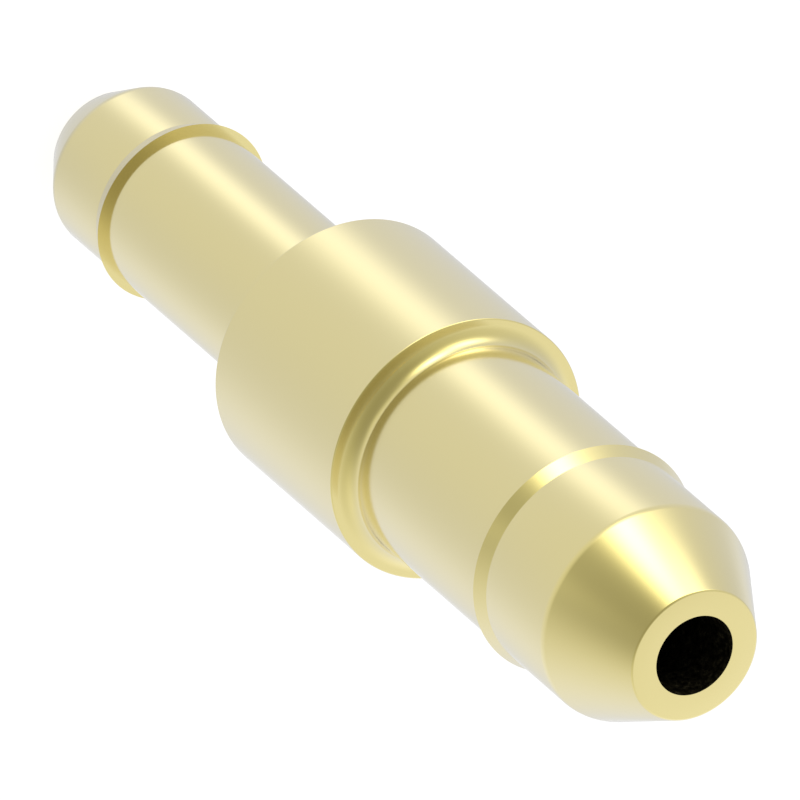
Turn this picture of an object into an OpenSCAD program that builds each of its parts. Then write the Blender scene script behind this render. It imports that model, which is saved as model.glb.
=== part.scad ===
// Barbed tube union, turned from one brass bar and drilled from end to end.
// A large barb and a small barb stand out of a plain round collar, and a soft tube is
// pushed over each barb up to the collar.
// It stands on the small barb's end face, with the large barb up.
// Its origin is the centre of that face, and +Z runs along its axis.

/* [Bore] */
// Diameter of the hole drilled from end to end
bore_d = 3.04; // [2:0.02:3.8]

/* [Collar] */
// Outside diameter of the collar, left at the diameter of the bar
collar_d = 10; // [9.7:0.1:16]
// Length of the collar along the axis
collar_length = 8.05; // [3:0.05:16]
// Radius of the fillet between the collar's faces and the necks
collar_fillet = 0.6; // [0.05:0.01:0.7]
// Radius of the round on the collar's two outer edges
collar_edge_round = 0.05; // [0.02:0.01:0.2]

/* [Ridges] */
// Angle between the axis and the slope that leads each ridge into its tube
ridge_slope = 24; // [15:1:45]

/* [Large barb] */
// Diameter of the neck and of the land, which the larger tube grips
large_seat_d = 8.3; // [7:0.05:8.6]
// Diameter of the ridge's sharp edge
large_ridge_d = 8.75; // [8.35:0.05:9.8]
// Length of the neck, from the collar to the ridge
large_neck_length = 8.73; // [3:0.01:18]
// Length from the ridge's sharp edge to the foot of the nose, slope and land together
large_land_length = 4.3; // [1.5:0.05:10]
// Length of the tapered nose
large_nose_length = 3.28; // [1.2:0.02:6]
// Diameter of the flat face at the nose's end, measured to the sharp corner
large_tip_d = 4.97; // [4:0.01:7]
// Radius of the round where the nose meets the land
large_nose_round = 0.6; // [0.05:0.05:1.2]
// Radius of the round between the nose and its end face
large_tip_round = 0.09; // [0.02:0.01:0.45]

/* [Small barb] */
// Diameter of the neck and of the land, which the smaller tube grips
small_seat_d = 6.3; // [5.2:0.05:6.8]
// Diameter of the ridge's sharp edge
small_ridge_d = 6.82; // [6.4:0.02:8]
// Length of the neck, from the collar to the ridge
small_neck_length = 11.04; // [3:0.01:20]
// Length from the ridge's sharp edge to the foot of the nose, slope and land together
small_land_length = 3.63; // [1.5:0.01:10]
// Length of the tapered nose
small_nose_length = 1.81; // [1:0.01:5]
// Diameter of the flat face at the nose's end, measured to the sharp corner
small_tip_d = 4.19; // [3.8:0.01:5.5]
// Radius of the round where the nose meets the land
small_nose_round = 0.6; // [0.05:0.05:1.2]
// Radius of the round between the nose and its end face
small_tip_round = 0.2; // [0.02:0.01:0.3]

/* [Hidden] */

brass = [0.84, 0.80, 0.59];
turned_faces = 180;
arc_faces = 96;
drill_overrun = 1;
barb_root = 1;
fillet_root = 0.1;

small_barb_length = small_neck_length + small_land_length + small_nose_length;
large_barb_length = large_neck_length + large_land_length + large_nose_length;
collar_foot_z = small_barb_length;
collar_top_z = collar_foot_z + collar_length;
overall_length = collar_top_z + large_barb_length;

// Unit vector from one point of the outline towards another
function towards(from, to) = (to - from) / norm(to - from);

// Half of the angle that an outline's corner encloses
function half_corner(before, corner, after) =
    acos(towards(corner, before) * towards(corner, after)) / 2;

// What lies between a corner of the outline and an arc that touches both of its sides.
// Taken away from a corner that stands out it makes a round, and added in a hollow one it
// makes a fillet, with its root sunk in the metal that it joins. The three points come in the
// order in which the outline runs.
module corner_filler(before, corner, after, radius, root = 0) {
    half_angle = half_corner(before, corner, after);
    to_before = towards(corner, before);
    to_after = towards(corner, after);
    touch = radius / tan(half_angle);
    centre = towards([0, 0], to_before + to_after) * radius / sin(half_angle);
    translate(corner)
        difference() {
            polygon([towards(centre, [0, 0]) * root, to_before * touch, centre,
                     to_after * touch]);
            translate(centre) circle(r = radius, $fn = arc_faces);
        }
}

// Half section of one barb, from the collar's face at y = 0 out to the end of the nose.
// Its root lies inside the collar, which it joins there.
module barb_section(seat_d, ridge_d, tip_d, neck_length, land_length, nose_length,
                    nose_round, tip_round) {
    slope_length = (ridge_d - seat_d) / 2 / tan(ridge_slope);
    ridge_y = neck_length;
    nose_y = ridge_y + land_length;
    tip_y = nose_y + nose_length;
    root_centre = [0, -barb_root];
    root_edge = [seat_d / 2, -barb_root];
    collar_edge = [collar_d / 2, 0];
    collar_corner = [seat_d / 2, 0];
    shoulder_foot = [seat_d / 2, ridge_y];
    ridge_edge = [ridge_d / 2, ridge_y];
    slope_foot = [seat_d / 2, ridge_y + slope_length];
    nose_foot = [seat_d / 2, nose_y];
    tip_corner = [tip_d / 2, tip_y];
    end_centre = [0, tip_y];

    difference() {
        polygon([root_centre, root_edge, shoulder_foot, ridge_edge, slope_foot, nose_foot,
                 tip_corner, end_centre]);
        corner_filler(slope_foot, nose_foot, tip_corner, nose_round);
        corner_filler(nose_foot, tip_corner, end_centre, tip_round);
    }
    corner_filler(collar_edge, collar_corner, shoulder_foot, collar_fillet, fillet_root);
}

// Half section of the collar, from y = 0 up to y = collar_length
module collar_section() {
    foot_centre = [0, 0];
    foot_edge = [collar_d / 2, 0];
    top_edge = [collar_d / 2, collar_length];
    top_centre = [0, collar_length];

    difference() {
        polygon([foot_centre, foot_edge, top_edge, top_centre]);
        corner_filler(foot_centre, foot_edge, top_edge, collar_edge_round);
        corner_filler(foot_edge, top_edge, top_centre, collar_edge_round);
    }
}

module large_barb_section() {
    barb_section(large_seat_d, large_ridge_d, large_tip_d, large_neck_length,
                 large_land_length, large_nose_length, large_nose_round, large_tip_round);
}

module small_barb_section() {
    barb_section(small_seat_d, small_ridge_d, small_tip_d, small_neck_length,
                 small_land_length, small_nose_length, small_nose_round, small_tip_round);
}

// The whole outline that the lathe cuts, on one side of the axis
module turned_section() {
    translate([0, collar_top_z]) large_barb_section();
    translate([0, collar_foot_z]) collar_section();
    translate([0, collar_foot_z]) mirror([0, 1]) small_barb_section();
}

module drilled_bore() {
    translate([0, 0, -drill_overrun])
        cylinder(d = bore_d, h = overall_length + 2 * drill_overrun, $fn = turned_faces);
}

module union_body() {
    color(brass)
        difference() {
            rotate_extrude($fn = turned_faces) turned_section();
            drilled_bore();
        }
}

union_body();
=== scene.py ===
"""A barbed tube union in turned brass: its body, the finishes it wears and the studio round it.

The body is one revolved piece. It stands on the small barb's end face at z = 0, with its axis
along +Z. Sizes in the classes are in millimetres, and the meshes are in metres.
"""

import logging
import math
from collections.abc import Mapping
from dataclasses import dataclass, field
from enum import Enum
from typing import Any

import bmesh
import bpy
from mathutils import Matrix, Vector


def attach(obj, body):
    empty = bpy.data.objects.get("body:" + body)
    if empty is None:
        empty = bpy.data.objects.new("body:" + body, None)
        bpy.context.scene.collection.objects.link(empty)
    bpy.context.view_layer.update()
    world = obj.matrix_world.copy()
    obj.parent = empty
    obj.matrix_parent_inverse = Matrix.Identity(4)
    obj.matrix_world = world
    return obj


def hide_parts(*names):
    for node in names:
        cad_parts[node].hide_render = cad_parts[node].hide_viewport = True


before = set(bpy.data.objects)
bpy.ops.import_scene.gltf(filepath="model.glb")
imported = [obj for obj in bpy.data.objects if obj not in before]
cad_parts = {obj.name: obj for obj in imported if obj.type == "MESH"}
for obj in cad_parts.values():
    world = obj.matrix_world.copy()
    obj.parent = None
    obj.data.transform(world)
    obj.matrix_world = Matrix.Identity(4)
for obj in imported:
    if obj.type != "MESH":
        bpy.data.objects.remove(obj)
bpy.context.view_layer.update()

LOG = logging.getLogger("barbed_tube_union")
MM = 0.001
ACROSS_THE_AXIS = (1.0, 1.0, 0.0)
NOISE_MEAN = 0.5
NOISE_ROUGHNESS = 0.55
EVEN_BLEND = 0.5
ROUND_PROFILE = 0.5
WALL_MARGIN = 1.001
WHITE = (1.0, 1.0, 1.0, 1.0)

Colour = tuple[float, float, float]


class Skin(Enum):
    """The finishes of the union, the bore's with its painted shade, each numbered as its material
    slot on the body.
    """

    TURNED = 0
    DRILLED = 1


@dataclass(frozen=True)
class Signal:
    """A number or vector that runs through a node tree, with Python's arithmetic on it."""

    graph: "Graph"
    socket: bpy.types.NodeSocket

    def maths(self, operation: str, *others: "Signal | float") -> "Signal":
        """Adds one Math node.

        Args:
            operation: the Math node's operation.
            others: the operands after this one.

        Returns:
            The node's result.
        """
        return self.graph.maths(operation, self, *others)

    def __add__(self, other: "Signal | float") -> "Signal":
        """This plus other."""
        return self.graph.maths("ADD", self, other)

    def __radd__(self, other: float) -> "Signal":
        """Other plus this."""
        return self.graph.maths("ADD", other, self)

    def __sub__(self, other: "Signal | float") -> "Signal":
        """This less other."""
        return self.graph.maths("SUBTRACT", self, other)

    def __rsub__(self, other: float) -> "Signal":
        """Other less this."""
        return self.graph.maths("SUBTRACT", other, self)

    def __mul__(self, other: "Signal | float") -> "Signal":
        """This times other."""
        return self.graph.maths("MULTIPLY", self, other)

    def __rmul__(self, other: float) -> "Signal":
        """Other times this."""
        return self.graph.maths("MULTIPLY", other, self)

    def __truediv__(self, other: "Signal | float") -> "Signal":
        """This divided by other."""
        return self.graph.maths("DIVIDE", self, other)

    def __rtruediv__(self, other: float) -> "Signal":
        """Other divided by this."""
        return self.graph.maths("DIVIDE", other, self)

    def __pow__(self, other: "Signal | float") -> "Signal":
        """This to the power of other."""
        return self.graph.maths("POWER", self, other)

    def __rpow__(self, other: float) -> "Signal":
        """Other to the power of this."""
        return self.graph.maths("POWER", other, self)


class Graph:
    """One node tree, and the ways to add to it."""

    def __init__(self, tree: bpy.types.NodeTree) -> None:
        """Empties a node tree.

        Args:
            tree: the tree of a material or of the world.
        """
        self.tree = tree
        self.tree.nodes.clear()

    def node(
        self,
        kind: str,
        settings: Mapping[str, Any] | None = None,
        sockets: Mapping[str | int, Any] | None = None,
    ) -> bpy.types.Node:
        """Adds a node, sets it and then feeds its sockets.

        Args:
            kind: the node's type.
            settings: the node's own properties by name.
            sockets: a value, signal or output socket for each input, by name or number.

        Returns:
            The new node.
        """
        made = self.tree.nodes.new(kind)
        for name, value in (settings or {}).items():
            setattr(made, name, value)
        for name, value in (sockets or {}).items():
            source = value.socket if isinstance(value, Signal) else value
            if isinstance(source, bpy.types.NodeSocket):
                self.tree.links.new(source, made.inputs[name])
            else:
                made.inputs[name].default_value = source
        return made

    def signal(self, node: bpy.types.Node, output: str | int = 0) -> Signal:
        """Wraps one output of a node."""
        return Signal(self, node.outputs[output])

    def maths(self, operation: str, *operands: Signal | float) -> Signal:
        """Adds a Math node and wraps its result."""
        node = self.node("ShaderNodeMath", {"operation": operation}, dict(enumerate(operands)))
        return self.signal(node)

    def vector_maths(self, operation: str, *operands: Any) -> bpy.types.Node:
        """Adds a Vector Math node and returns it."""
        return self.node(
            "ShaderNodeVectorMath", {"operation": operation}, dict(enumerate(operands))
        )

    def lathe_place(self) -> Signal:
        """Gives a point's place on a turned surface, which is the same all round the axis.

        Returns:
            A vector signal of the point's distance from the axis and its height, in mm.
        """
        place = self.node("ShaderNodeTexCoord").outputs["Object"]
        across = self.vector_maths("MULTIPLY", place, ACROSS_THE_AXIS)
        radius = self.signal(self.vector_maths("LENGTH", across.outputs[0]), "Value")
        height = self.signal(self.node("ShaderNodeSeparateXYZ", None, {0: place}), "Z")
        return self.signal(
            self.node("ShaderNodeCombineXYZ", None, {"X": radius / MM, "Y": height / MM})
        )

    def noise(self, place: Signal | bpy.types.NodeSocket, scale: float, detail: float) -> Signal:
        """Adds a noise pattern around a mean of a half.

        Args:
            place: the point at which it is read.
            scale: features for each unit of place.
            detail: how many finer octaves it holds.

        Returns:
            The pattern's value.
        """
        node = self.node(
            "ShaderNodeTexNoise",
            {"noise_dimensions": "3D", "normalize": True},
            {"Vector": place, "Scale": scale, "Detail": detail, "Roughness": NOISE_ROUGHNESS},
        )
        return self.signal(node, "Fac")


@dataclass(frozen=True)
class TurnedBrass:
    """Bright brass as a fine lathe cut leaves it, which turns pale towards its edges."""

    name: str = "turned_brass"
    tint: Colour = (0.92, 0.782, 0.258)
    tint_at_edge: Colour = (0.961, 0.886, 0.429)
    pale: Colour = (0.93, 0.93, 0.93)
    pale_share: float = 0.97
    pale_rise: float = 1.2
    roughness: float = 0.14
    roughness_swing: float = 0.05
    marks_per_mm: float = 9.0
    mark_detail: float = 3.0
    mark_depth_mm: float = 0.0002

    def material(self) -> bpy.types.Material:
        """Makes the finish.

        Returns:
            A material that reads Object coordinates.
        """
        made = bpy.data.materials.new(self.name)
        made.use_nodes = True
        graph = Graph(made.node_tree)
        marks = graph.noise(graph.lathe_place(), self.marks_per_mm, self.mark_detail)
        roughness = (marks - NOISE_MEAN) * self.roughness_swing + self.roughness
        relief = graph.node(
            "ShaderNodeBump",
            None,
            {"Strength": 1.0, "Distance": self.mark_depth_mm * MM, "Height": marks},
        )
        metal = {"Metallic": 1.0, "Roughness": roughness, "Normal": relief.outputs[0]}
        brass = graph.node(
            "ShaderNodeBsdfPrincipled",
            None,
            {
                **metal,
                "Base Color": (*self.tint, 1.0),
                "Specular Tint": (*self.tint_at_edge, 1.0),
            },
        )
        edge = graph.node(
            "ShaderNodeBsdfPrincipled", None, {**metal, "Base Color": (*self.pale, 1.0)}
        )
        slant = graph.node("ShaderNodeLayerWeight", None, {"Blend": EVEN_BLEND})
        share = graph.signal(slant, "Facing") ** self.pale_rise * self.pale_share
        mixed = graph.node(
            "ShaderNodeMixShader", None, {0: share, 1: brass.outputs[0], 2: edge.outputs[0]}
        )
        graph.node("ShaderNodeOutputMaterial", None, {"Surface": mixed.outputs[0]})
        return made


@dataclass(frozen=True)
class BoreBrassPaintedShade:
    """The bore's wall: dull brass painted nearly black as painted shade of the deep bore, with
    scattered lighter flecks of the brass's own colour.
    """

    name: str = "bore_brass_painted_shade"
    # Nearly black: painted shade of the deep bore, not the colour of its brass
    dark: Colour = (0.008, 0.007, 0.0045)
    light: Colour = (1.0, 0.88, 0.5)
    roughness: float = 0.5
    flecks_per_mm: float = 5.0
    fleck_detail: float = 2.0
    fleck_scarcity: float = 4.0

    def material(self) -> bpy.types.Material:
        """Makes the finish.

        Returns:
            A material that reads Object coordinates.
        """
        made = bpy.data.materials.new(self.name)
        made.use_nodes = True
        graph = Graph(made.node_tree)
        place = graph.node("ShaderNodeTexCoord").outputs["Object"]
        flecks = graph.noise(place, self.flecks_per_mm / MM, self.fleck_detail)
        # Painted shade over the whole wall, broken by flecks of brass colour
        tone = graph.node(
            "ShaderNodeMix",
            {"data_type": "RGBA"},
            {
                "Factor": flecks ** self.fleck_scarcity,
                6: (*self.dark, 1.0),
                7: (*self.light, 1.0),
            },
        )
        wall = graph.node(
            "ShaderNodeBsdfPrincipled",
            None,
            {"Base Color": tone.outputs[2], "Metallic": 1.0, "Roughness": self.roughness},
        )
        graph.node("ShaderNodeOutputMaterial", None, {"Surface": wall.outputs[0]})
        return made


@dataclass(frozen=True)
class Corner:
    """One corner of the half outline, in mm, with the radius of the arc that eases it."""

    radius: float
    height: float
    easing: float = 0.0

    @property
    def point(self) -> Vector:
        """The corner's place in the XZ plane, in metres."""
        return Vector((self.radius, 0.0, self.height)) * MM


@dataclass(frozen=True)
class Barb:
    """One end of the union, from the collar out to the face at the end of its nose."""

    seat_d: float
    ridge_d: float
    tip_d: float
    neck_length: float
    land_length: float
    nose_length: float
    nose_round: float
    tip_round: float
    collar_fillet: float = 0.6
    ridge_slope: float = 24.0

    @property
    def length(self) -> float:
        """How far it stands out of the collar."""
        return self.neck_length + self.land_length + self.nose_length

    def corners(self, foot: float, way: int) -> list[Corner]:
        """Lists the corners of its half outline.

        Args:
            foot: height of the collar's face that it stands out of.
            way: 1 where it points up and -1 where it points down.

        Returns:
            The corners, from the collar outwards.
        """
        seat, ridge = self.seat_d / 2, self.ridge_d / 2
        shoulder = self.neck_length
        slope_foot = shoulder + (ridge - seat) / math.tan(math.radians(self.ridge_slope))
        nose_foot = shoulder + self.land_length
        steps = [
            (seat, 0.0, self.collar_fillet),
            (seat, shoulder, 0.0),
            (ridge, shoulder, 0.0),
            (seat, slope_foot, 0.0),
            (seat, nose_foot, self.nose_round),
            (self.tip_d / 2, self.length, self.tip_round),
        ]
        return [Corner(radius, foot + way * out, easing) for radius, out, easing in steps]


@dataclass
class UnionBody:
    """The whole union, turned from one bar and drilled from end to end."""

    name: str = "brass_union"
    node: str = "union_body"
    slot: str = "brass"
    bore_d: float = 3.04
    collar_d: float = 10.0
    collar_length: float = 8.05
    collar_edge_round: float = 0.05
    large: Barb = Barb(
        seat_d=8.3,
        ridge_d=8.75,
        tip_d=4.97,
        neck_length=8.73,
        land_length=4.3,
        nose_length=3.28,
        nose_round=0.6,
        tip_round=0.09,
    )
    small: Barb = Barb(
        seat_d=6.3,
        ridge_d=6.82,
        tip_d=4.19,
        neck_length=11.04,
        land_length=3.63,
        nose_length=1.81,
        nose_round=0.6,
        tip_round=0.2,
    )
    turning_steps: int = 256
    fewest_arc_steps: int = 3
    arc_step: float = math.radians(7.5)
    crease: float = math.radians(15.0)
    skins: dict[Skin, TurnedBrass | BoreBrassPaintedShade] = field(
        default_factory=lambda: {Skin.TURNED: TurnedBrass(), Skin.DRILLED: BoreBrassPaintedShade()}
    )

    @property
    def length(self) -> float:
        """Length from end to end."""
        return self.small.length + self.collar_length + self.large.length

    def outline(self) -> list[Corner]:
        """Lists the corners of the half section.

        Returns:
            The corners in order, from the bore's lower mouth round to its upper mouth.
        """
        foot = self.small.length
        top = foot + self.collar_length
        edge, easing = self.collar_d / 2, self.collar_edge_round
        return [
            Corner(self.bore_d / 2, 0.0),
            *reversed(self.small.corners(foot, -1)),
            Corner(edge, foot, easing),
            Corner(edge, top, easing),
            *self.large.corners(top, 1),
            Corner(self.bore_d / 2, self.length),
        ]

    def ease(self, section: bmesh.types.BMesh, vertex: bmesh.types.BMVert, radius: float) -> None:
        """Rounds one corner of the section with an arc that touches both of its sides.

        Args:
            section: the half section, as a closed wire.
            vertex: the corner.
            radius: the arc's radius in mm.
        """
        sides = [edge.other_vert(vertex).co - vertex.co for edge in vertex.link_edges]
        turn = math.pi - sides[0].angle(sides[1])
        bmesh.ops.bevel(
            section,
            geom=[vertex],
            offset=radius * MM * math.tan(turn / 2),
            offset_type="OFFSET",
            affect="VERTICES",
            segments=max(self.fewest_arc_steps, round(turn / self.arc_step)),
            profile=ROUND_PROFILE,
            material=-1,
        )

    def section(self) -> bmesh.types.BMesh:
        """Draws the half section as a closed wire, with its rounds.

        Returns:
            The wire, in the XZ plane and in metres.
        """
        drawn = bmesh.new()
        corners = self.outline()
        points = [drawn.verts.new(corner.point) for corner in corners]
        for start, end in zip(points, points[1:] + points[:1]):
            drawn.edges.new((start, end))
        for corner, point in zip(corners, points):
            if corner.easing > 0:
                self.ease(drawn, point, corner.easing)
        return drawn

    def turn(self) -> bpy.types.Object:
        """Spins the section round the axis into the body.

        Returns:
            The body, with its faces numbered by their finish.
        """
        made = self.section()
        bmesh.ops.spin(
            made,
            geom=made.verts[:] + made.edges[:],
            cent=(0.0, 0.0, 0.0),
            axis=(0.0, 0.0, 1.0),
            angle=2 * math.pi,
            steps=self.turning_steps,
            use_merge=True,
        )
        bmesh.ops.recalc_face_normals(made, faces=made.faces[:])
        wall = self.bore_d / 2 * MM * WALL_MARGIN
        for face in made.faces:
            face.smooth = True
            bored = all(vertex.co.xy.length < wall for vertex in face.verts)
            face.material_index = (Skin.DRILLED if bored else Skin.TURNED).value
        for edge in made.edges:
            edge.smooth = edge.calc_face_angle(0.0) < self.crease
        mesh = bpy.data.meshes.new(self.name)
        made.to_mesh(mesh)
        made.free()
        piece = bpy.data.objects.new(self.name, mesh)
        bpy.context.scene.collection.objects.link(piece)
        return piece

    def dress(self, piece: bpy.types.Object) -> None:
        """Gives the body its finishes and keeps its long faces free of its rounds' shading.

        Args:
            piece: the body as it comes off the lathe.
        """
        for skin in Skin:
            piece.data.materials.append(self.skins[skin].material())
        crisp = piece.modifiers.new("crisp_shading", "WEIGHTED_NORMAL")
        crisp.mode = "FACE_AREA"
        crisp.keep_sharp = True

    def build(self) -> bpy.types.Object:
        """Makes the body, dresses it and puts it in the CAD node's place.

        Returns:
            The finished piece.
        """
        piece = self.turn()
        self.dress(piece)
        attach(piece, "root")
        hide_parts(self.node)
        return piece


@dataclass(frozen=True)
class Glow:
    """One soft light in the distance, or with a negative strength a dark patch.

    Its angles are in degrees. Azimuth 0 lies behind the camera and 90 on its right, seen
    upright. At its spread from the middle about a third of it is left. With a flatness its
    middle is even and its rim steeper. Where it has a fade, it dies away between those two
    elevations, the lower one first.
    """

    azimuth: float
    elevation: float
    spread: float
    strength: float
    flatness: float = 0.0
    fade: tuple[float, float] | None = None

    @property
    def axis(self) -> Vector:
        """Points at its middle.

        Returns:
            The unit vector from the union towards it.
        """
        azimuth, elevation = math.radians(self.azimuth), math.radians(self.elevation)
        level = math.cos(elevation)
        return Vector((math.sin(azimuth) * level, -math.cos(azimuth) * level, math.sin(elevation)))

    def shine(self, graph: Graph, direction: bpy.types.NodeSocket) -> Signal:
        """Gives what it adds to the light from a direction.

        Args:
            graph: the world's node tree.
            direction: unit vector towards what is seen.

        Returns:
            Its strength there, which falls off as a bell does.
        """
        near = graph.signal(graph.vector_maths("DOT_PRODUCT", direction, self.axis), "Value")
        sharpness = 2 / math.radians(self.spread) ** 2
        bell = ((near - 1.0) * sharpness).maths("EXPONENT")
        if self.flatness > 0:
            bell = self.evened(bell)
        if self.fade is not None:
            bell = bell * self.risen(graph, direction)
        return bell * self.strength

    def evened(self, bell: Signal) -> Signal:
        """Flattens the middle of a bell and leaves its top at 1."""
        top = 1 - math.exp(-self.flatness)
        return (1.0 - (bell * -self.flatness).maths("EXPONENT")) / top

    def risen(self, graph: Graph, direction: bpy.types.NodeSocket) -> Signal:
        """Gives how much of it is left at the elevation of a direction.

        Args:
            graph: the world's node tree.
            direction: unit vector towards what is seen.

        Returns:
            0 below its fade, 1 above it, and a smooth rise between them.
        """
        height = graph.signal(graph.node("ShaderNodeSeparateXYZ", None, {0: direction}), "Z")
        low, high = (math.sin(math.radians(angle)) for angle in self.fade)
        rise = graph.node(
            "ShaderNodeMapRange",
            {"interpolation_type": "SMOOTHSTEP"},
            {"Value": height, "From Min": low, "From Max": high},
        )
        return graph.signal(rise)


@dataclass(frozen=True)
class Studio:
    """A pale floor and soft light from all round, with brighter and darker patches in it."""

    ambient: float = 0.74
    glows: tuple[Glow, ...] = (
        # Bright, at the camera's left: the large nose and the large ridge's slope mirror them
        Glow(-42, -1, 16, 2.4),
        Glow(-72, 15, 16, 1.9),
        # Low at its left: the pale stripe along the collar, the necks and the lands
        Glow(-64, -48, 12.5, 0.46),
        # Round and over the camera: the shading of the large nose and the collar's fillet
        Glow(18, 40, 38.5, -0.4, flatness=4, fade=(-31, 5)),
        Glow(26, -5, 11, 0.1),
        Glow(-168, 82, 16, -0.18),
        Glow(91, 31, 28, 0.18),
        # Behind the union: the flat faces across the axis, such as the end face
        Glow(178, 16, 35, 0.45),
        Glow(-146, 12, 44, -0.18),
        # Low, at the right and behind: the sides and the outermost edges
        Glow(108, -41, 30, 0.2),
        Glow(90, -67, 28, -0.18),
        Glow(175, -47, 8, 0.14),
        Glow(-158, -52, 15, -0.05),
        Glow(-150, -31, 13, 0.06),
    )
    floor_half_width: float = 4000.0
    floor_shade: float = 0.35
    floor_glow: float = 0.85

    def light(self) -> None:
        """Makes the world that lights the union, and that is plain white beyond the floor."""
        world = bpy.data.worlds.new("soft_studio")
        world.use_nodes = True
        graph = Graph(world.node_tree)
        direction = graph.node("ShaderNodeTexCoord").outputs["Generated"]
        total = self.glows[0].shine(graph, direction) + self.ambient
        for glow in self.glows[1:]:
            total = total + glow.shine(graph, direction)
        seen = graph.signal(graph.node("ShaderNodeLightPath"), "Is Camera Ray")
        strength = total.maths("MAXIMUM", seen)
        backdrop = graph.node(
            "ShaderNodeBackground", None, {"Color": WHITE, "Strength": strength}
        )
        graph.node("ShaderNodeOutputWorld", None, {"Surface": backdrop.outputs[0]})
        bpy.context.scene.world = world

    def floor(self) -> bpy.types.Object:
        """Lays the floor under the union.

        Returns:
            The floor, which the brass doesn't mirror.
        """
        made = bmesh.new()
        bmesh.ops.create_grid(made, x_segments=1, y_segments=1, size=self.floor_half_width * MM)
        mesh = bpy.data.meshes.new("floor")
        made.to_mesh(mesh)
        made.free()
        laid = bpy.data.objects.new("floor", mesh)
        bpy.context.scene.collection.objects.link(laid)
        pale = bpy.data.materials.new("pale_floor")
        pale.use_nodes = True
        graph = Graph(pale.node_tree)
        grey = (self.floor_shade,) * 3
        paint = graph.node(
            "ShaderNodeBsdfPrincipled",
            None,
            {
                "Base Color": (*grey, 1.0),
                "Roughness": 1.0,
                "Specular IOR Level": 0.0,
                "Emission Color": WHITE,
                "Emission Strength": self.floor_glow,
            },
        )
        graph.node("ShaderNodeOutputMaterial", None, {"Surface": paint.outputs[0]})
        laid.data.materials.append(pale)
        laid.visible_glossy = False
        laid.visible_shadow = False
        return laid


@dataclass(frozen=True)
class Viewpoint:
    """The camera: a long lens far off, turned so that the union lies across the picture.

    A circle round the axis shows as an ellipse of the circle ratio, short to long. The axis
    crosses the picture with the axis slope, its fall for each unit across. The target and the
    half width of the picture are in millimetres, and the clips are shares of its distance.
    """

    circle_ratio: float = 0.75
    axis_slope: float = math.sqrt(3) / 2
    target: tuple[float, float, float] = (-0.013, 0.0, 20.638)
    half_width: float = 13.866
    lens: float = 1700.0
    sensor: float = 36.0
    near_clip: float = 0.5
    far_clip: float = 3.0

    @property
    def turn(self) -> Matrix:
        """Turns the camera from looking straight down to its line of sight.

        Returns:
            The turn by the elevation, after the roll about the line of sight.
        """
        level = Matrix.Rotation(math.pi / 2 - math.asin(self.circle_ratio), 4, "X")
        return level @ Matrix.Rotation(math.pi / 2 + math.atan(self.axis_slope), 4, "Z")

    def place(self) -> bpy.types.Object:
        """Sets up the camera.

        Returns:
            The camera's object.
        """
        optics = bpy.data.cameras.new("view")
        optics.lens, optics.sensor_width = self.lens, self.sensor
        distance = self.half_width * MM * self.lens / (self.sensor / 2)
        optics.clip_start = distance * self.near_clip
        optics.clip_end = distance * self.far_clip
        camera = bpy.data.objects.new("view", optics)
        bpy.context.scene.collection.objects.link(camera)
        back = self.turn.to_3x3() @ Vector((0.0, 0.0, 1.0))
        stand = Vector(self.target) * MM + back * distance
        camera.matrix_world = Matrix.Translation(stand) @ self.turn
        bpy.context.scene.camera = camera
        return camera


def main() -> None:
    """Builds the union and its studio, and reports each piece."""
    logging.basicConfig(level=logging.INFO, format="%(message)s")
    bpy.context.scene.view_settings.view_transform = "Standard"
    body = UnionBody().build()
    LOG.info("%s: %d faces", body.name, len(body.data.polygons))
    studio = Studio()
    studio.light()
    LOG.info("%s: laid", studio.floor().name)
    LOG.info("%s: set up", Viewpoint().place().name)


if __name__ == "__main__":
    main()
